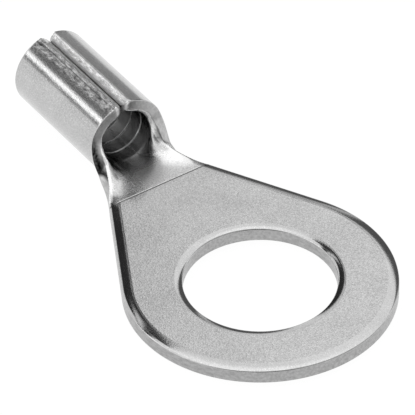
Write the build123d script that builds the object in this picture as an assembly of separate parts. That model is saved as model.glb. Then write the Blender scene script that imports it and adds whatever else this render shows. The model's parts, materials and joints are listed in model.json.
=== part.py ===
from build123d import *
from math import acos, atan2, cos, hypot, pi, radians, sin, sqrt, tan
import os

# Ring terminal, bare, stamped and rolled from one piece of tinned copper sheet.
# Origin: centre of the stud hole, on the tongue's underside. +Z is up, through the
# tongue; the wire barrel lies towards -X. Millimetres.

# Driving dimensions
sheet_thickness = 0.85
ring_diameter = 15.0
stud_hole_diameter = 8.4

tongue_reach = 2.2            # from the ring's outline to the crease, along the axis
crease_width_across = 6.64    # width of the tongue at the crease
crease_angle = 2.0            # degrees by which the sheet dips behind the crease
crease_mark_width = 0.10
crease_mark_depth = 0.03

taper_length = 2.05           # from the crease to the waist of the neck
waist_length = 0.40           # parallel part of the neck
waist_width = 4.84            # width of the neck, measured on the flat blank
flare_length = 0.85           # from the waist to the front edges of the wings
flare_power = 1.6             # 2 is a quarter ellipse, less is straighter

barrel_bore = 3.06
barrel_length = 7.75
barrel_drop = 0.34            # how far the barrel hangs below the tongue's underside
free_edge_angle = 66.0        # degrees, from the seam to the end of a wing's front edge

seam_offset = -0.05           # the seam lies a little to one side of the top
seam_gap = 0.05
groove_depth = 0.46           # V between the bevelled wing edges, on the outside
groove_left = 0.50
groove_right = 0.40
front_corner_radius = 0.65    # corners of the wings at the seam
rear_corner_radius = 0.15

roll_width = 0.45             # rounding that the punch leaves round the blank's upper edges
roll_height = 0.14
mouth_roll_height = 0.14      # the same rounding at the barrel's two open ends

serration_count = 4           # cross grooves inside the barrel, which grip the wire
serration_pitch = 0.96
serration_width = 0.24
serration_depth = 0.10
first_serration = 0.85        # from the front edges of the wings

# Values that follow from them
ring_radius = ring_diameter / 2
crease_x = -(ring_radius + tongue_reach)
crease_half = crease_width_across / 2
waist_half = waist_width / 2
neck_length = taper_length + waist_length + flare_length
front_x = crease_x - neck_length
rear_x = front_x - barrel_length

bore_radius = barrel_bore / 2
outer_radius = bore_radius + sheet_thickness
middle_radius = bore_radius + sheet_thickness / 2
axis_z = outer_radius - barrel_drop
flare_half = middle_radius * (pi - radians(free_edge_angle))

# The tongue's straight sides run from the crease to where they touch the ring's circle.
touch_angle = atan2(crease_half, crease_x) - acos(ring_radius / hypot(crease_x, crease_half))
touch_x = ring_radius * cos(touch_angle)
touch_y = ring_radius * sin(touch_angle)
side_slope = (touch_y - crease_half) / (touch_x - crease_x)

taper_steps = 8               # sections along the taper and waist, then along the flare
flare_steps = 6
slope_step = 0.001
longest_slant = 2.4           # limit to how far a slanting edge stretches its rolled rounding
quarter_arc = 0.5523          # handle length that makes a cubic curve a quarter ellipse
cut_margin = 0.2
sweep_margin = 1.0


def blank_half_width(u):
    """Half width of the flat blank, u behind the crease: taper, waist, then flare."""
    if u <= taper_length:
        t = u / taper_length
        from_crease = 2 * t**3 - 3 * t**2 + 1
        side_share = -side_slope * taper_length * (t**3 - 2 * t**2 + t)
        return crease_half * from_crease + side_share + waist_half * (1 - from_crease)
    t = max(0.0, u - taper_length - waist_length) / flare_length
    rise = 1 - (1 - min(t, 1.0) ** flare_power) ** (1 / flare_power)
    return waist_half + (flare_half - waist_half) * rise


def blank_edge_slope(u):
    """How fast the half width changes along the neck."""
    before = max(u - slope_step, 0)
    after = min(u + slope_step, neck_length - slope_step / 10)
    return (blank_half_width(after) - blank_half_width(before)) / (after - before)


def sheet_point(u, across, height):
    """A point of the formed neck. u is measured back from the crease, across along the
    curved sheet from its middle, height up through the sheet from its underside.
    The sheet's curvature grows from nothing at the crease to the barrel's own: slowly at
    first, and evenly into the barrel."""
    if u == 0:
        return Vector(crease_x, across, height)
    t = u / neck_length
    straight_dip = tan(radians(crease_angle)) * neck_length
    underside = -straight_dip * t - (barrel_drop - straight_dip) * t**2
    radius = middle_radius / (t**3 * (4 - 3 * t))
    turn = across / radius
    arc_centre = underside + sheet_thickness / 2 + radius
    arc_radius = radius - (height - sheet_thickness / 2)
    return Vector(crease_x - u, arc_radius * sin(turn), arc_centre - arc_radius * cos(turn))


def neck_section(u):
    """Cross section of the neck: an arc of sheet with square lower and rolled upper edges."""
    half = blank_half_width(u)
    roll = roll_width * min(hypot(1, blank_edge_slope(u)), longest_slant)

    def span(start, end, height):
        ends = sheet_point(u, start, height), sheet_point(u, end, height)
        if u == 0:
            return Line(*ends)
        return ThreePointArc(ends[0], sheet_point(u, (start + end) / 2, height), ends[1])

    def rolled_edge(side):
        top = sheet_thickness
        return [
            sheet_point(u, side * half, top - roll_height),
            sheet_point(u, side * half, top - roll_height * (1 - quarter_arc)),
            sheet_point(u, side * (half - roll * (1 - quarter_arc)), top),
            sheet_point(u, side * (half - roll), top),
        ]

    right = rolled_edge(1)
    left = rolled_edge(-1)
    edges = [
        span(-half, half, 0),
        Line(sheet_point(u, half, 0), right[0]),
        Bezier(*right),
        span(half - roll, roll - half, sheet_thickness),
        Bezier(*reversed(left)),
        Line(left[0], sheet_point(u, -half, 0)),
    ]
    return Face(Wire([piece.edge() for piece in edges]))


def edge_roll_profile(reach, height, plane):
    """Face between a square corner at the plane's origin and its rolled edge."""
    return plane * make_face([
        Bezier((0, -height), (0, -height * (1 - quarter_arc)), (-reach * (1 - quarter_arc), 0), (-reach, 0)),
        Line((-reach, 0), (-reach, cut_margin)),
        Line((-reach, cut_margin), (cut_margin, cut_margin)),
        Line((cut_margin, cut_margin), (cut_margin, -height)),
        Line((cut_margin, -height), (0, -height)),
    ])


def tongue():
    """Ring and flat tongue, up to the crease, with the stud hole and rolled upper edges."""
    near = (touch_x, -touch_y)
    far = (touch_x, touch_y)
    outline = make_face([
        Line((crease_x, -crease_half), near),
        ThreePointArc(near, (ring_radius, 0), far),
        Line(far, (crease_x, crease_half)),
        Line((crease_x, crease_half), (crease_x, -crease_half)),
    ])
    plate = extrude(outline, sheet_thickness) - Cylinder(stud_hole_diameter / 2, 4 * sheet_thickness)

    side_end = crease_half - side_slope * sweep_margin
    top = sheet_thickness
    path = Wire([
        Line((crease_x - sweep_margin, -side_end, top), (*near, top)).edge(),
        ThreePointArc((*near, top), (ring_radius, 0, top), (*far, top)).edge(),
        Line((*far, top), (crease_x - sweep_margin, side_end, top)).edge(),
    ])
    along = path % 0
    outward = Vector(along.Y, -along.X, 0)
    across_path = Plane(origin=path @ 0, x_dir=outward, z_dir=outward.cross(Vector(0, 0, 1)))
    plate -= sweep(edge_roll_profile(roll_width, roll_height, across_path), path=path)

    hole_edge = Plane(origin=(stud_hole_diameter / 2, 0, top), x_dir=(-1, 0, 0), z_dir=(0, 1, 0))
    plate -= revolve(edge_roll_profile(roll_width, roll_height, hole_edge), Axis.Z)
    return plate


def neck():
    """Trough between tongue and barrel, through sections that follow the blank's outline."""
    flare_start = taper_length + waist_length
    stations = [flare_start * step / taper_steps for step in range(taper_steps + 1)]
    taper = loft([neck_section(u) for u in stations])
    turns = [pi / 2 * step / flare_steps for step in range(flare_steps + 1)]
    flare = loft([neck_section(flare_start + flare_length * sin(turn)) for turn in turns])
    return taper + flare


def barrel_profile():
    """Section of the rolled barrel: a ring of sheet whose two edges butt at the seam."""
    def top_of(radius, y):
        return axis_z + sqrt(radius**2 - y**2)

    left, right = seam_offset - seam_gap / 2, seam_offset + seam_gap / 2
    lip_left, lip_right = seam_offset - groove_left, seam_offset + groove_right
    groove_bottom = top_of(outer_radius, seam_offset) - groove_depth

    def inner_roll(edge_y, side):
        foot = edge_y + side * roll_width
        butt = top_of(bore_radius, edge_y) + roll_height
        slope = -foot / sqrt(bore_radius**2 - foot**2)
        handle = -side * roll_width * quarter_arc
        start = (foot, top_of(bore_radius, foot))
        return [
            start,
            (start[0] + handle, start[1] + handle * slope),
            (edge_y, butt - roll_height * quarter_arc),
            (edge_y, butt),
        ]

    right_roll = inner_roll(right, 1)
    left_roll = inner_roll(left, -1)
    outer_left = (lip_left, top_of(outer_radius, lip_left))
    outer_right = (lip_right, top_of(outer_radius, lip_right))
    return make_face([
        ThreePointArc(outer_left, (0, axis_z - outer_radius), outer_right),
        Line(outer_right, (right, groove_bottom)),
        Line((right, groove_bottom), right_roll[-1]),
        Bezier(*reversed(right_roll)),
        ThreePointArc(right_roll[0], (0, axis_z - bore_radius), left_roll[0]),
        Bezier(*left_roll),
        Line(left_roll[-1], (left, groove_bottom)),
        Line((left, groove_bottom), outer_left),
    ])


def wing_corner_cut(edge_x, inward_x, edge_y, inward_y, radius):
    """What the rounding takes off one corner of a wing, cut straight down."""
    round_x = edge_x + inward_x * radius
    round_y = edge_y + inward_y * radius
    bulge = radius * (1 - sqrt(0.5))
    middle = (edge_x + inward_x * bulge, edge_y + inward_y * bulge)
    open_x = edge_x - inward_x * cut_margin
    open_y = edge_y - inward_y * seam_gap
    spandrel = make_face([
        Line((open_x, round_y), (edge_x, round_y)),
        ThreePointArc((edge_x, round_y), middle, (round_x, edge_y)),
        Line((round_x, edge_y), (round_x, open_y)),
        Line((round_x, open_y), (open_x, open_y)),
        Line((open_x, open_y), (open_x, round_y)),
    ])
    return Pos(0, 0, axis_z) * extrude(spandrel, 2 * outer_radius)


def barrel():
    """The rolled wire barrel, open along its butt seam, with rounded wing corners."""
    across = Plane(origin=(front_x, 0, 0), x_dir=(0, 1, 0), z_dir=(1, 0, 0))
    tube = extrude(across * barrel_profile(), -barrel_length)
    for edge_x, inward_x, radius in ((front_x, -1, front_corner_radius), (rear_x, 1, rear_corner_radius)):
        tube -= wing_corner_cut(edge_x, inward_x, seam_offset - seam_gap / 2, -1, radius)
        tube -= wing_corner_cut(edge_x, inward_x, seam_offset + seam_gap / 2, 1, radius)
    return tube


def mouth_roll(edge_x, outward_x, lift):
    """Rounding round the inside of one of the barrel's mouths. A lifted ring bites at the
    seam and fades out towards the floor, where the sheet runs on into the neck."""
    corner = Plane(
        origin=(edge_x, 0, axis_z + bore_radius + mouth_roll_height),
        x_dir=(outward_x, 0, 0),
        z_dir=(0, outward_x, 0),
    )
    reach, height = roll_width, mouth_roll_height
    corner_face = corner * make_face([
        Bezier((0, 0), (0, -height * quarter_arc), (-reach * (1 - quarter_arc), -height), (-reach, -height)),
        Line((-reach, -height), (-reach, -height - cut_margin)),
        Line((-reach, -height - cut_margin), (cut_margin, -height - cut_margin)),
        Line((cut_margin, -height - cut_margin), (cut_margin, 0)),
        Line((cut_margin, 0), (0, 0)),
    ])
    return revolve(corner_face, Axis((edge_x, 0, axis_z + lift), (1, 0, 0)))


def serration(index):
    """One V-shaped cross groove, round the barrel's inner wall."""
    x = front_x - first_serration - index * serration_pitch
    half = serration_width / 2
    across_wall = Plane(origin=(x, 0, axis_z + bore_radius), x_dir=(1, 0, 0), z_dir=(0, -1, 0))
    notch = make_face(Polyline(
        (-half, 0), (0, serration_depth), (half, 0), (half, -cut_margin), (-half, -cut_margin), close=True
    ))
    return revolve(across_wall * notch, Axis((0, 0, axis_z), (1, 0, 0)))


def crease_mark():
    """Fine line that the forming die leaves across the tongue's upper face."""
    half = crease_mark_width / 2
    across_crease = Plane(origin=(crease_x, 0, sheet_thickness), x_dir=(1, 0, 0), z_dir=(0, -1, 0))
    notch = make_face(Polyline(
        (-half, 0), (0, -crease_mark_depth), (half, 0), (half, cut_margin), (-half, cut_margin), close=True
    ))
    return extrude(across_crease * notch, ring_radius, both=True)


def ring_terminal():
    body = tongue() + neck() + barrel()
    body -= mouth_roll(front_x, 1, mouth_roll_height / 2)
    body -= mouth_roll(rear_x, -1, 0)
    for index in range(serration_count):
        body -= serration(index)
    return body - crease_mark()


os.makedirs("parts", exist_ok=True)
terminal = ring_terminal()
export_step(terminal, "parts/ring_terminal.step")
print("solids", len(terminal.solids()), "volume", round(terminal.volume, 2))
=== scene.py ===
"""The ring terminal's looks: one sheet of tinned copper, worked out as a flat blank and then
formed, with its cut edges, its rolled wire barrel and its butt seam. Lengths are in
millimetres until a mesh is made; the scene itself is in metres."""

import json

import bpy
import numpy as np
from mathutils import Matrix, Vector


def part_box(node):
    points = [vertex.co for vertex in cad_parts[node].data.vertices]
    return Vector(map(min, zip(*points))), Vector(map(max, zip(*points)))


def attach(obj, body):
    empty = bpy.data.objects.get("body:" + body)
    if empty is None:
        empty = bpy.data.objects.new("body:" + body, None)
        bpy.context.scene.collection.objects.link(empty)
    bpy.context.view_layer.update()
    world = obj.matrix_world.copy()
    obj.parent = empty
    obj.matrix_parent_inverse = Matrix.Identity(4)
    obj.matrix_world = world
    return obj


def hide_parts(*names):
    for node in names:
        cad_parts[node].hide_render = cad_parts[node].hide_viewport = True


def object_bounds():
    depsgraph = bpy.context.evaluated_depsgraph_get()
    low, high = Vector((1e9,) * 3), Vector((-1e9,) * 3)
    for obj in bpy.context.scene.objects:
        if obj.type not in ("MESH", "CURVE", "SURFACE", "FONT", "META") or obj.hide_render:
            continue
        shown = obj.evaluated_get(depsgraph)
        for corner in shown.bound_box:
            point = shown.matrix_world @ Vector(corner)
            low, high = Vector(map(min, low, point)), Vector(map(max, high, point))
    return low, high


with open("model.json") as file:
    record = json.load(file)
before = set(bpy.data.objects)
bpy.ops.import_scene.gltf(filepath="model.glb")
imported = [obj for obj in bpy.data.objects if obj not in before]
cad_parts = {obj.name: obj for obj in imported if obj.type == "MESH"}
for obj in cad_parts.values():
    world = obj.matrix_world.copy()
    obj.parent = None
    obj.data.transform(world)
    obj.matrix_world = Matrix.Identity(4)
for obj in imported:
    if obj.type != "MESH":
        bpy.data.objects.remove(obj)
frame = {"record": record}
cad_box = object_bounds()

MM = 0.001
NODE = "ring_terminal"

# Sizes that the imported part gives
mounts = {mount["name"]: mount for mount in frame["record"]["mounts"]}
box_low, box_high = (np.array(corner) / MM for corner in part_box(NODE))
ring_radius = box_high[0]
rear_x = box_low[0]
barrel_drop = -box_low[2]
sheet = mounts["tongue_top"]["pos_m"][2] / MM
hole_radius = mounts["stud_hole"]["dims"]["r_mm"]
bore_radius = mounts["wire_barrel"]["dims"]["r_mm"]
middle_radius = bore_radius + sheet / 2

# The blank: ring, tongue, neck and wings
crease_x = -9.7
crease_half = 3.32
taper_length = 2.05
waist_length = 0.40
waist_half = 2.42
flare_length = 0.85
flare_power = 1.6
free_edge_angle = np.radians(66.0)
neck_length = taper_length + waist_length + flare_length
front_x = crease_x - neck_length
flare_half = middle_radius * (np.pi - free_edge_angle)
dip = np.tan(np.radians(2.0)) * neck_length

# The wings' edges at the seam, left of the wire's way in and right of it
seam_turn = 0.025
seam_gap = 0.05
wing_half = {-1: middle_radius * (np.pi - seam_turn) - seam_gap / 2,
             1: middle_radius * (np.pi + seam_turn) - seam_gap / 2}
bevel_width = {-1: 0.382, 1: 0.313}
bevel_depth = 0.46
front_corner = 0.65
rear_corner = 0.15

# What the punch leaves round the edges; lip_line is how far from the seam the painted shade
# line along the barrel's crown runs
roll_width = 0.45
roll_height = 0.14
ring_roll_width = 0.62
mouth_roll_height = 0.30
lower_edge = 0.035
band_width = front_corner
lip_line = 0.171

# How far behind the crease the edge changes, on the near side (-1) and on the far side (1):
# the wide roll narrows, the smooth roll ends, the burnish with its painted highlight starts, the
# high one starts
wide_roll_end = 2.0
wide_roll_fade = 1.5
smooth_roll_end = {-1: 0.0, 1: 2.0}
burnish_highlight_start = {-1: 0.3, 1: 2.0}
high_roll_start = 1.2

# Grooves across the barrel's inside, and the die's mark across the tongue
first_serration = 0.85
serration_pitch = 0.96
serration_count = 4
serrations = front_x - first_serration - serration_pitch * np.arange(serration_count)
serration_half = 0.07
serration_depth = 0.05
crease_mark_half = 0.05
crease_mark_depth = 0.03
crease_lead = 0.14

# How finely the sheet is divided
arc_steps = 72
side_steps = 28
taper_steps = 30
flare_steps = 26
front_steps = 18
corner_steps = 10
core_steps = 56
radial_steps = 5
edge_steps = 14
burnish_highlight_steps = 8
seam_rows = 44

# How far behind the crease the edge band turns square to the outline, and the least divisor
neck_blend = 0.6
tiny = 0.001

# What is stored at each point of the mesh, for the plating, with its painted highlights and painted
# shade lines
MARKS = ("cut_face", "burnished", "rolled", "lip_edge", "scored", "depth")


def smooth_steps(low, high, count):
    """Evenly spaced values from low to high, both included."""
    return np.linspace(low, high, count + 1)


def touch_point():
    """Where a straight side of the tongue touches the ring: the tangent from the end of the
    crease to the ring's circle."""
    reach = np.hypot(crease_x, crease_half)
    angle = np.arctan2(crease_half, crease_x) - np.arccos(ring_radius / reach)
    return angle, np.array([ring_radius * np.cos(angle), ring_radius * np.sin(angle)])


touch_angle, touch = touch_point()
side_slope = (touch[1] - crease_half) / (touch[0] - crease_x)


def neck_half_width(u):
    """Half width of the blank, u behind the crease: a cubic that leaves the crease along the
    tongue's side and arrives level at the waist, and then a superellipse out to the wings."""
    before = side_slope * np.clip(-u, 0, None)
    t = np.clip(u / taper_length, 0, 1)
    from_crease = 2 * t**3 - 3 * t**2 + 1
    side_share = -side_slope * taper_length * (t**3 - 2 * t**2 + t)
    taper = crease_half * from_crease + side_share + waist_half * (1 - from_crease)
    f = np.clip((u - taper_length - waist_length) / flare_length, 0, 1)
    rise = 1 - (1 - f**flare_power) ** (1 / flare_power)
    return before + taper + (flare_half - waist_half) * rise


def formed(x, across, height):
    """The blank's point (x, across, height) once the sheet is formed. Behind the crease the
    sheet curls about an arc whose curvature grows as t cubed times (4 - 3t), to the barrel's
    own, while its underside sinks by a slope and a square."""
    t = np.clip((crease_x - x) / neck_length, 0, 1)
    curvature = np.maximum(t**3 * (4 - 3 * t), 1e-9) / middle_radius
    underside = -dip * t - (barrel_drop - dip) * t**2
    turn = across * curvature
    above_middle = height - sheet / 2
    y = np.sin(turn) / curvature - above_middle * np.sin(turn)
    arc_rise = 2 * np.sin(turn / 2) ** 2 / curvature
    z = underside + sheet / 2 + arc_rise + above_middle * np.cos(turn)
    return np.stack(np.broadcast_arrays(x, y, z), -1)


def pressed_in(x):
    """How deep the serrations and the crease mark sink the upper face at x: V notches."""
    depth = np.zeros_like(x)
    for middle in serrations:
        depth = np.maximum(depth, serration_depth * (1 - np.abs(x - middle) / serration_half))
    mark = crease_mark_depth * (1 - np.abs(x - crease_x) / crease_mark_half)
    return np.maximum(depth, mark)


def barrel_rows():
    """Stations along the barrel, from 0 at its front to 1 at its rear, close together where
    the serrations sink the wall."""
    front, rear = front_x - band_width, rear_x + band_width
    even = smooth_steps(front, rear, seam_rows)
    notch = np.array([-1.15, -1.0, -0.85, -0.5, -0.12, 0.12, 0.5, 0.85, 1.0, 1.15])
    close = (serrations[:, None] + serration_half * notch).ravel()
    far = np.abs(even[:, None] - serrations).min(1) > serration_half * 1.5
    rows = np.sort(np.concatenate([even[far], close]))[::-1]
    return (rows - front) / (rear - front)


def rounded_corner(radius):
    """A wing's corner from one end of its edge band to the other, as distances from the end
    edge and from the seam edge: straight, a quarter circle, straight."""
    quarter = smooth_steps(0, np.pi / 2, corner_steps)
    straight = np.linspace(band_width, radius, 7)[:-1, None]
    arc = radius * np.stack([1 - np.cos(quarter), 1 - np.sin(quarter)], -1)
    return np.concatenate([straight * [0, 1], arc, straight[::-1] * [1, 0]])


def across_run(across, edge_x, inner_x):
    """A straight run across the blank, on the edge at edge_x and inside it at inner_x."""
    return tuple(np.stack([np.full_like(across, x), across], -1) for x in (edge_x, inner_x))


def half_outline(side):
    """One half of the blank's outline, from the ring's far end to the middle of the rear edge,
    as points on the edge and the points band_width inside it. Returned as named runs, each with
    both ends."""
    runs = {}
    angle = smooth_steps(0, touch_angle, arc_steps)
    ring = np.stack([np.cos(angle), np.sin(angle)], -1)
    runs["arc"] = ring * ring_radius, ring * (ring_radius - band_width)

    share = smooth_steps(0, 1, side_steps)[:, None]
    side_end = np.array([crease_x + crease_lead, crease_half + side_slope * crease_lead])
    drop = np.array([0, -band_width * np.hypot(1, side_slope)])
    inner = touch - ring[-1] * band_width
    runs["side"] = touch + (side_end - touch) * share, inner + (side_end + drop - inner) * share

    mark = crease_mark_half * np.array([-1.4, -1.15, -1, -0.6, 0, 0.6, 1, 1.15, 1.4])
    u_taper = smooth_steps(crease_lead, taper_length + waist_length, taper_steps)
    u_taper = np.concatenate([[-crease_lead], mark, u_taper])
    turn = smooth_steps(0, np.pi / 2, flare_steps)
    u = np.concatenate([u_taper, u_taper[-1] + flare_length * np.sin(turn[1:])])
    edge = np.stack([crease_x - u, neck_half_width(u)], -1)
    tangent = np.gradient(edge, axis=0)
    tangent[0] = [-1, -side_slope]
    tangent[-1] = [0, 1]
    tangent /= np.hypot(*tangent.T)[:, None]
    inner = edge + band_width * tangent @ np.array([[0, 1], [-1, 0]])
    blend = np.clip(u / neck_blend, 0, 1)[:, None]
    runs["neck"] = edge, (edge + drop) * (1 - blend) + inner * blend

    wing = wing_half[side]
    front_in, rear_in = front_x - band_width, rear_x + band_width
    across = smooth_steps(flare_half, wing - band_width, front_steps)
    runs["front"] = across_run(across, front_x, front_in)

    inner_front = np.array([front_in, wing - band_width])
    inner_rear = np.array([rear_in, wing - band_width])
    corner = np.array([front_x, wing]) - rounded_corner(front_corner)
    runs["front_corner"] = corner, np.tile(inner_front, (len(corner), 1))

    share = barrel_rows()[:, None]
    low, high = np.array([front_in, wing]), np.array([rear_in, wing])
    runs["seam"] = low + (high - low) * share, inner_front + (inner_rear - inner_front) * share

    corner = np.array([rear_x, wing]) - rounded_corner(rear_corner)[::-1] * [-1, 1]
    runs["rear_corner"] = corner, np.tile(inner_rear, (len(corner), 1))

    runs["rear_wing"] = across_run(across[::-1], rear_x, rear_in)
    across = smooth_steps(0, flare_half, core_steps // 2)[::-1]
    runs["rear_core"] = across_run(across, rear_x, rear_in)
    return runs


def seam_bevel(edge, inner, side):
    """Width and height of the seam's bevel where the edge's section starts at points of the
    outline. The bevel is a plane, so both are whole along the seam and shrink round the
    wing's corners."""
    beyond = np.clip(edge[:, 1] - wing_half[side] + bevel_width[side], 0, None)
    beyond = np.where(edge[:, 0] > front_x + tiny, 0, beyond)
    width = band_width * beyond / np.maximum(edge[:, 1] - inner[:, 1], tiny)
    return width, bevel_depth * np.maximum(beyond / bevel_width[side], tiny)


def roll_size(edge):
    """Width and height of the rolled upper edge at points of the outline: wider round ring,
    tongue and the start of the neck, and higher at the barrel's front mouth."""
    forward = np.clip((edge[:, 0] - crease_x + wide_roll_end) / wide_roll_fade, 0, 1)
    high_roll_length = neck_length - high_roll_start
    before = np.clip((crease_x - high_roll_start - edge[:, 0]) / high_roll_length, 0, 1)
    behind = np.clip((front_x - edge[:, 0]) / front_corner, 0, 1)
    width = roll_width + (ring_roll_width - roll_width) * forward
    return width, roll_height + (mouth_roll_height - roll_height) * before * (1 - behind)


def edge_profile(bevel, bevel_high, roll_wide, roll_high):
    """Section through the sheet's edge, for each bevel and roll: how far in from the outline, at
    what height, and what wear, painted highlight or painted shade line it carries. The lower face,
    a small round, the cut face with its bevel, the rolled upper edge, which is a quarter ellipse,
    and the upper face. The bevel is a straight slant that moves the section inwards below its
    height."""
    quarter = smooth_steps(0, np.pi / 2, 4)
    line_half = 0.035
    near_line = lip_line + line_half * np.array([2, 1, 0, -1])
    below = np.concatenate([[band_width], near_line, [0.1]])
    round_in = lower_edge * np.concatenate([[2.6], 1 - np.sin(quarter)])
    round_high = lower_edge * np.concatenate([[0], 1 - np.cos(quarter)])
    wall_high = np.array([0.09, 0.16, 0.23, 0.30, 0.38, 0.43, 0.46, 0.50, 0.57, 0.64])
    wall_share = (sheet - roll_high[:, None]) / (sheet - roll_height)
    roll = smooth_steps(0, np.pi / 2, edge_steps)
    plain = np.ones((len(bevel), 1))
    flat_in = np.concatenate([
        plain * below,
        plain * round_in,
        plain * 0 * wall_high,
        roll_wide[:, None] * (1 - np.cos(roll)),
        roll_wide[:, None] + [[0.01, 0.02]],
        plain * band_width,
    ], axis=1)
    high = np.concatenate([
        plain * 0 * below,
        plain * round_high,
        wall_share * wall_high,
        sheet - roll_high[:, None] * (1 - np.sin(roll)),
        plain * [sheet, sheet, sheet],
    ], axis=1)
    slant = np.clip(1 - high / bevel_high[:, None], 0, 1)
    inward = np.minimum(flat_in + bevel[:, None] * slant, band_width)
    wall_start, wall_end = len(below) + 4, len(below) + len(round_in) + len(wall_high)
    step = np.arange(high.shape[1])
    wear = {
        "cut_face": (step >= wall_start) & (step <= wall_end),
        # The burnish, with its painted white highlight
        "burnished": (step > wall_end + 1) & (step < wall_end + burnish_highlight_steps),
        "rolled": (step > wall_end + 1) & (step < wall_end + edge_steps),
        # The lip edges, with their painted highlight
        "lip_edge": (step > len(below)) & (step < wall_start),
        # The painted shade line along the barrel's crown
        "lip_line": step == 1 + np.argmin(np.abs(near_line - lip_line)),
    }
    return inward, high, wear


def by_side(across, values):
    """For each point, the value that its side of the sheet has."""
    return np.where(across > 0, values[1], values[-1])


class Sheet:
    """Collects grids of blank points, forms them and makes one welded mesh of them."""

    def __init__(self):
        self.points, self.faces, self.count = [], [], 0
        self.marks = {name: [] for name in MARKS}

    def grid(self, x, across, height, wear=None, flip=False):
        """A patch given as arrays of rows and columns. Its faces are the cells between
        neighbouring rows and columns; flip turns them over. Its marks are the wear of the edge, the
        painted highlights on the edge's burnish, its lip edges and the grooves, the painted shade
        lines in the crease and along the crown, and how far behind the crease a point of the upper
        face is."""
        x, across, height = np.broadcast_arrays(x, across, height)
        rows, columns = x.shape
        index = self.count + np.arange(rows * columns).reshape(rows, columns)
        corners = [index[:-1, :-1], index[1:, :-1], index[1:, 1:], index[:-1, 1:]]
        if flip:
            corners.reverse()
        self.faces.append(np.stack(corners, -1).reshape(-1, 4))
        self.points.append(formed(x, across, height).reshape(-1, 3))
        wear = wear or {}
        upper = height > 0.6 * sheet
        # Painted shade along the crease mark; the serration grooves get the painted white highlight
        crease = np.clip(1.4 - np.abs(x - crease_x) / crease_mark_half, 0, 1) * upper
        notch = np.clip(1.5 * pressed_in(x) / serration_depth, 0, 1) * upper * (x < front_x)
        behind = crease_x - x
        smooth = behind < by_side(across, smooth_roll_end)
        # The burnish's painted white highlight starts this far behind the crease
        burnish_highlight_on = behind > by_side(across, burnish_highlight_start)
        marks = {
            "cut_face": wear.get("cut_face", 0),
            "burnished": np.maximum(wear.get("burnished", 0) * burnish_highlight_on, notch * 0.8),
            "rolled": wear.get("rolled", 0) * smooth,
            "lip_edge": wear.get("lip_edge", 0),
            "scored": np.maximum(crease, wear.get("lip_line", 0)),
            "depth": np.where(upper, behind, 0),
        }
        for key, values in marks.items():
            self.marks[key].append(np.broadcast_to(values, x.shape).ravel().astype(float))
        self.count += rows * columns

    def make(self, name):
        """Welds points that lie together, drops faces without area and makes the object."""
        points = np.concatenate(self.points)
        _, first, welded = np.unique(
            np.round(points, 4), axis=0, return_index=True, return_inverse=True)
        faces = welded.ravel()[np.concatenate(self.faces)]
        distinct = (faces != np.roll(faces, 1, axis=1)).sum(1)
        quads = faces[distinct == 4]
        slivers = faces[distinct == 3]
        keep = slivers != np.roll(slivers, 1, axis=1)
        triangles = slivers[keep].reshape(-1, 3)
        mesh = bpy.data.meshes.new(name)
        mesh.vertices.add(len(first))
        mesh.vertices.foreach_set("co", (points[first] * MM).ravel())
        loops = np.concatenate([quads.ravel(), triangles.ravel()])
        sizes = np.concatenate([np.full(len(quads), 4), np.full(len(triangles), 3)])
        mesh.loops.add(len(loops))
        mesh.loops.foreach_set("vertex_index", loops)
        mesh.polygons.add(len(sizes))
        mesh.polygons.foreach_set("loop_start", np.concatenate([[0], np.cumsum(sizes)[:-1]]))
        mesh.polygons.foreach_set("use_smooth", np.ones(len(sizes), dtype=bool))
        for key, values in self.marks.items():
            mark = mesh.attributes.new(key, "FLOAT", "POINT")
            mark.data.foreach_set("value", np.concatenate(values)[first])
        mesh.update(calc_edges=True)
        mesh.validate()
        piece = bpy.data.objects.new(name, mesh)
        bpy.context.scene.collection.objects.link(piece)
        return piece


def upper_height(x):
    """Height of the sheet's upper face at x."""
    return sheet - pressed_in(x)


def edge_band(body, outline, side):
    """The sheet's edge: its section carried along the outline."""
    for run, (edge, inner) in outline.items():
        inward, height, wear = edge_profile(*seam_bevel(edge, inner, side), *roll_size(edge))
        # On the seam only: the lip edges' painted highlight, and on the near side the painted shade
        # line
        wear["lip_edge"] = wear["lip_edge"] * (run == "seam")
        wear["lip_line"] = wear["lip_line"] * (run == "seam" and side < 0)
        share = (inward / band_width)[..., None]
        place = edge[:, None] + (inner - edge)[:, None] * share
        x, across = place[..., 0], place[..., 1]
        height = np.minimum(height, upper_height(x))
        body.grid(x, side * across, height, wear, flip=side < 0)


def broad_face(body, left, right, height_of, flip):
    """The sheet's upper or lower face inside the edge bands: a fan of rays round the hole,
    rows across the neck and the barrel's floor, and the two wings. Returns the rays' angles."""
    right_arc = np.concatenate([right["arc"], right["side"][1:]])
    left_arc = np.concatenate([left["arc"], left["side"][1:]]) * [1, -1]
    columns = smooth_steps(1, -1, core_steps)
    crease = np.stack([np.full_like(columns, right_arc[-1, 0]), right_arc[-1, 1] * columns], -1)
    rim = np.concatenate([right_arc, crease[1:-1], left_arc[::-1]])
    angle = np.unwrap(np.arctan2(rim[:, 1], rim[:, 0]))
    near = np.stack([np.cos(angle), np.sin(angle)], -1) * (hole_radius + band_width)
    place = near + (rim - near) * np.linspace(0, 1, radial_steps + 1)[:, None, None]
    body.grid(place[..., 0], place[..., 1], height_of(place[..., 0]), flip=flip)

    rows_x = np.concatenate([right["neck"][:, 0], right["seam"][1:, 0]])
    rows_half = np.concatenate([right["neck"][:, 1], np.full(len(right["seam"]) - 1, flare_half)])
    x, across = np.broadcast_arrays(rows_x[:, None], rows_half[:, None] * columns)
    body.grid(x, across, height_of(x), flip=flip)

    for side, loops in ((1, right), (-1, left)):
        x, across = np.broadcast_arrays(loops["seam"][:, :1], loops["front"][None, :, 1])
        body.grid(x, side * across, height_of(x), flip=flip != (side > 0))
    return angle


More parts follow.
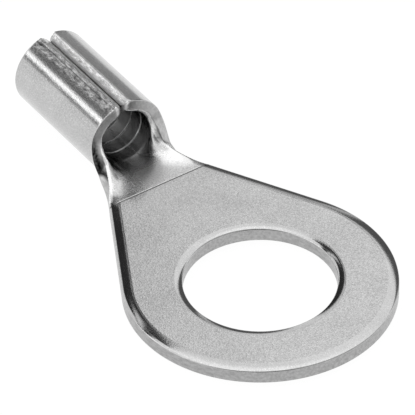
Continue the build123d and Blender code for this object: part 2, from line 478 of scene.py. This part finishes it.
def hole_wall(body, angle):
    """The stud hole's edge: the same section turned about the hole's axis."""
    plain = np.ones(len(angle))
    inward, height, wear = edge_profile(
        0 * plain, bevel_depth * plain, roll_width * plain, roll_height * plain)
    wear["lip_edge"] = wear["lip_line"] = 0
    radius = hole_radius + inward
    x, y = radius * np.cos(angle)[:, None], radius * np.sin(angle)[:, None]
    body.grid(x, y, height, wear, flip=True)


def terminal():
    """The whole sheet as one mesh."""
    body = Sheet()
    outlines = {side: half_outline(side) for side in (-1, 1)}
    for side, outline in outlines.items():
        edge_band(body, outline, side)
    left, right = (
        {run: inner for run, (edge, inner) in outlines[side].items()} for side in (-1, 1))
    angle = broad_face(body, left, right, upper_height, flip=False)
    broad_face(body, left, right, np.zeros_like, flip=True)
    hole_wall(body, angle)
    return body.make("terminal_sheet")


class Wire:
    """A shader value. Python's operators on it add the matching Math nodes."""

    def __init__(self, tree, socket):
        self.tree, self.socket = tree, socket

    def math(self, operation, first, second=0.0):
        return self.tree.node("ShaderNodeMath", {"operation": operation}, {0: first, 1: second})

    def __add__(self, other):
        return self.math("ADD", self, other)

    def __radd__(self, other):
        return self.math("ADD", other, self)

    def __sub__(self, other):
        return self.math("SUBTRACT", self, other)

    def __rsub__(self, other):
        return self.math("SUBTRACT", other, self)

    def __mul__(self, other):
        return self.math("MULTIPLY", self, other)

    def __rmul__(self, other):
        return self.math("MULTIPLY", other, self)

    def step(self, low, high):
        """Smooth step from 0 at low to 1 at high."""
        settings = {"interpolation_type": "SMOOTHSTEP"}
        inputs = {"Value": self, "From Min": low, "From Max": high}
        return self.tree.node("ShaderNodeMapRange", settings, inputs)

    def toward(self, level, share):
        """This value, moved towards level by share."""
        return self + (level - self) * share


class Tree:
    """The nodes of a material or of the world."""

    def __init__(self, owner):
        owner.use_nodes = True
        self.nodes, self.links = owner.node_tree.nodes, owner.node_tree.links
        self.nodes.clear()

    def node(self, kind, settings, inputs, output=0):
        """Adds a node: its settings first, then the values or links of its sockets."""
        node = self.nodes.new(kind)
        for name, value in settings.items():
            setattr(node, name, value)
        for name, value in inputs.items():
            if isinstance(value, Wire):
                self.links.new(value.socket, node.inputs[name])
            else:
                node.inputs[name].default_value = value
        return Wire(self, node.outputs[output]) if node.outputs else node

    def noise(self, place, scale, detail):
        """A cloudy value between 0 and 1 at place, scale clouds to the metre."""
        inputs = {"Vector": place, "Scale": scale, "Detail": detail}
        return self.node("ShaderNodeTexNoise", {}, inputs)

    def background_rays(self):
        """1 for the rays that show the background: the camera's own, and those that metal or
        glass turns towards it."""
        kinds = ("Is Camera Ray", "Is Glossy Ray", "Is Transmission Ray")
        direct, glossy, through = (self.node("ShaderNodeLightPath", {}, {}, kind) for kind in kinds)
        settings = {"operation": "ADD", "use_clamp": True}
        turned = self.node("ShaderNodeMath", settings, {0: glossy, 1: through})
        return direct, turned

    def axes(self, vector):
        """The three parts of a vector."""
        parts = {"Vector": vector}
        return (self.node("ShaderNodeSeparateXYZ", {}, parts, axis) for axis in "XYZ")

    def grey(self, value):
        """A grey colour from a value."""
        inputs = {"Red": value, "Green": value, "Blue": value}
        return self.node("ShaderNodeCombineColor", {}, inputs)


def tin_plate():
    """Bright tin over a punched and rolled sheet: satin with a fine sparkling grain, smooth on the
    rolled edges, a painted white highlight where the neck's edges and the grooves carry burnish,
    torn and coarse on the cut faces and along the barrel's crown, with a painted dark reflection
    band and a painted highlight strip at its lip along the crown, painted highlights on the seam's
    lip edges and on the neck, painted shade lines in the crease and along the crown, painted shade
    in the trough's far wall, and painted shade deep in the barrel."""
    material = bpy.data.materials.new("tin_plate")
    tree = Tree(material)
    place = tree.node("ShaderNodeTexCoord", {}, {}, "Object")
    along, across, up = tree.axes(place)
    cut, burnished, rolled, lip_edge, scored, depth = (
        tree.node("ShaderNodeAttribute", {"attribute_name": name}, {}, "Fac") for name in MARKS)

    # Patterns: sparkling grain, bright flecks, slow clouds, and torn metal and patches that break
    # up the crown's painted dark band, both drawn out along the barrel
    grain = tree.noise(place, 11000.0, 2.0)
    flecks = tree.noise(place, 19000.0, 1.0)
    cloud = tree.noise(place, 420.0, 3.0)
    stretch = {0: place, 1: (0.4, 1.0, 1.0)}
    drawn = tree.node("ShaderNodeVectorMath", {"operation": "MULTIPLY"}, stretch)
    torn = tree.noise(drawn, 6500.0, 4.0)
    patch = tree.noise(drawn, 1500.0, 2.0).step(0.38, 0.62)

    # Zones: the barrel's torn crown, which also carries a painted dark reflection band, and its lip
    # at the seam, a painted highlight strip; a darker patch low on the near wing's cut face; the
    # painted shade in the trough's far wall; the barrel, the neck and the barrel's inside
    crown = (1 - across.step(0.0002, 0.0004)) * up.step(0.00405, 0.00420)
    lip = across.step(-0.00078, -0.00070) * crown
    # A darker patch low on the near wing's cut face
    low_cut_dark = (1 - across.step(-0.0022, -0.0018)) * up.step(0.0009, 0.0011)
    low_cut_dark = low_cut_dark * (1 - up.step(0.0022, 0.0034))
    shade = across.step(0.0016, 0.0019) * up.step(0.0012, 0.0015) * (1 - up.step(0.0022, 0.0028))
    shade = shade * depth.step(1.9, 2.3) * (1 - depth.step(3.0, 3.4))
    coarse = (torn - 0.5) * (crown * 2.1).toward(crown * 0.9 + 0.35, cut)
    barrel = 1 - along.step(-0.0110, -0.0095)
    sparkle = (grain - 0.5) * (0.5 - barrel * 0.25 - rolled * 0.25)
    # A lighter, rougher tone on the neck's upper face, partly a painted highlight
    neck = depth.step(0.0, 0.12) * (1 - depth.step(1.6, 2.9))
    neck = neck * across.step(-0.0024, -0.0004).toward(1.0, torn.step(0.56, 0.66))
    # Painted shade deep inside the barrel; the bump is calmed there too
    inside = depth.step(2.7, 4.5)
    # Painted white highlight on the burnish of the edges and on the serration grooves
    bright = burnished * torn.step(0.25, 0.50)

    # The plain sheet's tone, then the neck's lighter tone, partly a painted highlight, and the
    # crown with its painted dark band and painted lip strip, the torn faces, the painted highlights
    # on the lip edges and burnish edges, and last the painted shade that darkens them
    tone = 0.51 + (cloud - 0.5) * 0.2 + sparkle + flecks.step(0.58, 0.70) * 0.16
    tone = tone.toward(0.76 + sparkle * 2, neck) + coarse * 0.9
    # Painted highlight strip at the crown's lip, and the crown's painted dark reflection band,
    # broken up by patches
    tone = tone + lip * 0.27 + crown * (patch * 0.24 - 0.17)
    torn_tone = 0.39 + barrel * 0.08 + crown * 0.14 + coarse - low_cut_dark * 0.42
    # Torn cut faces, then the painted highlight on the lip edges and the painted white highlight on
    # the burnish
    tone = tone.toward(torn_tone, cut).toward(0.72 + coarse, lip_edge).toward(1.0, bright)
    # Painted shade: deep in the barrel, along the crease and crown lines, and in the trough's far
    # wall
    tone = tone * (1 - inside * 0.28) * (1 - scored * 0.75) * (1 - shade * 0.6)
    roughness = (0.15 + (cloud - 0.5) * 0.06 + cut * 0.15 + neck * 0.13 + bright * 0.05
                 - rolled * 0.07 - crown * 0.05)
    height = (grain + flecks * 0.5) * (1 - inside * 0.7) * (1 - rolled * 0.7) + coarse * 2.0
    grain_height = 0.000009
    bump = {"Strength": 0.4, "Distance": grain_height, "Height": height}
    plating = {
        "Base Color": tree.grey(tone),
        # The painted white highlight is made partly diffuse so that it shows white
        "Metallic": 1 - bright * 0.5,
        "Roughness": roughness,
        "Normal": tree.node("ShaderNodeBump", {}, bump),
    }
    surface = tree.node("ShaderNodeBsdfPrincipled", {}, plating)
    tree.node("ShaderNodeOutputMaterial", {}, {"Surface": surface})
    return material


def floor():
    """A plain pale floor under the part: white, but for the part's shadow, to the camera and
    to the rays that metal turns."""
    level = cad_box[0].z
    reach = 0.6
    white_share = 0.9
    white_level = 1.06
    matt_grey = 0.85
    mesh = bpy.data.meshes.new("floor")
    turns = ((-1, -1), (1, -1), (1, 1), (-1, 1))
    corners = [(reach * x, reach * y, level) for x, y in turns]
    mesh.from_pydata(corners, [], [(0, 1, 2, 3)])
    piece = bpy.data.objects.new("floor", mesh)
    bpy.context.scene.collection.objects.link(piece)
    material = bpy.data.materials.new("floor")
    tree = Tree(material)
    direct, turned = tree.background_rays()
    seen = direct.math("MAXIMUM", direct, turned)
    matt = tree.node("ShaderNodeBsdfDiffuse", {}, {"Color": (matt_grey, matt_grey, matt_grey, 1)})
    white = tree.node("ShaderNodeEmission", {}, {"Color": (1, 1, 1, 1), "Strength": white_level})
    surface = tree.node("ShaderNodeMixShader", {}, {0: seen * white_share, 1: matt, 2: white})
    tree.node("ShaderNodeOutputMaterial", {}, {"Surface": surface})
    mesh.materials.append(material)


def surroundings():
    """The studio round the part, by direction: pale walls, a soft box overhead, a narrow lamp
    low on the near side, a dim front, and dark gaps on the near side, on the far side and
    behind the barrel. The camera sees it white, and so do the rays that metal turns towards
    the open wall."""
    world = bpy.data.worlds.new("studio")
    bpy.context.scene.world = world
    tree = Tree(world)
    direction = tree.node("ShaderNodeTexCoord", {}, {}, "Generated")
    x, y, z = tree.axes(direction)
    ahead = x.step(-0.35, 0.15)
    lean = x + y * 0.27

    # The walls, and the lit strip behind the barrel that brightens the gaps
    level = 0.94 + x.step(-0.65, -0.60) * 0.17 + y.step(0.385, 0.44) * 0.10
    lit_strip = (1 - x.step(-0.665, -0.645)) * x.step(-0.70, -0.68)

    # Dark gap on the far side, low
    far_side = y.step(0.455, 0.51) * (1 - z.step(0.57, 0.63)) * (1 - ahead)
    level = level.toward(lit_strip * 0.52 + 0.13, far_side)

    # Dark gap on the near side, and the lamp beside it
    near_side = 1 - y.step(-0.04, 0.06)
    gap = near_side * z.step(0.29, 0.33) * (1 - x.step(-0.60, -0.56)) * x.step(-0.72, -0.70)
    level = level.toward(z.step(0.66, 0.70) * lit_strip * 0.9 + 0.05, gap)
    lamp = near_side * z.step(0.40, 0.46) * (1 - z.step(0.53, 0.57))
    lamp = lamp * (1 - y.step(-0.45, -0.35)) * (1 - ahead)
    level = level.toward(2.3, lamp)

    # Soft box overhead
    overhead = z.step(0.78, 0.95) * (1 - gap)
    level = level.toward(1.45, overhead)

    # Dark gap behind the barrel, and the dim front
    behind = (1 - lean.step(-0.535, -0.505)) * (1 - y.step(0.35, 0.43)) * (1 - near_side)
    behind = behind * (1 - lit_strip * z.step(0.68, 0.72) * 0.9)
    level = level.toward(0.04, behind)
    front = x.step(0.05, 0.30) * z.step(0.25, 0.40)
    level = level.toward(y.step(-0.1, 0.1) * 0.25 + 0.3, front)

    # White for the camera, and for turned rays that leave by the open wall
    wall = (1 - far_side) * (1 - gap) * (1 - overhead) * (1 - behind) * (1 - front)
    wall = wall * (1 - x.step(-0.66, -0.64))
    direct, turned = tree.background_rays()
    seen = direct.toward(1.0, turned * wall)
    studio = tree.node("ShaderNodeBackground", {}, {"Color": (1, 1, 1, 1), "Strength": level})
    white = tree.node("ShaderNodeBackground", {}, {"Color": (1, 1, 1, 1), "Strength": 1.0})
    surface = tree.node("ShaderNodeMixShader", {}, {0: seen, 1: studio, 2: white})
    tree.node("ShaderNodeOutputWorld", {}, {"Surface": surface})


def camera():
    """The photograph's view: a long lens from in front of the ring's near side, turned to
    azimuth and elevation, and moved across its own view so that the part falls where the
    photograph has it."""
    azimuth, elevation, roll = np.radians([56.17348, 39.70216, -0.73756])
    distance, right_shift, up_shift = 260.0, -2.84734, 4.47259
    back = Vector((
        np.sin(azimuth) * np.cos(elevation),
        -np.cos(azimuth) * np.cos(elevation),
        np.sin(elevation),
    ))
    right = Vector((np.cos(azimuth), np.sin(azimuth), 0))
    up = back.cross(right)
    right, up = right * np.cos(roll) + up * np.sin(roll), up * np.cos(roll) - right * np.sin(roll)
    place = (back * distance + right * right_shift + up * up_shift) * MM
    data = bpy.data.cameras.new("camera")
    data.lens = 417.6
    data.clip_start = 0.01
    piece = bpy.data.objects.new("camera", data)
    piece.matrix_world = Matrix.Translation(place) @ Matrix((right, up, back)).transposed().to_4x4()
    bpy.context.scene.collection.objects.link(piece)
    bpy.context.scene.camera = piece


terminal_sheet = terminal()
terminal_sheet.data.materials.append(tin_plate())
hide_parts(NODE)
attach(terminal_sheet, "root")

floor()
surroundings()
camera()
bpy.context.scene.view_settings.view_transform = "Standard"
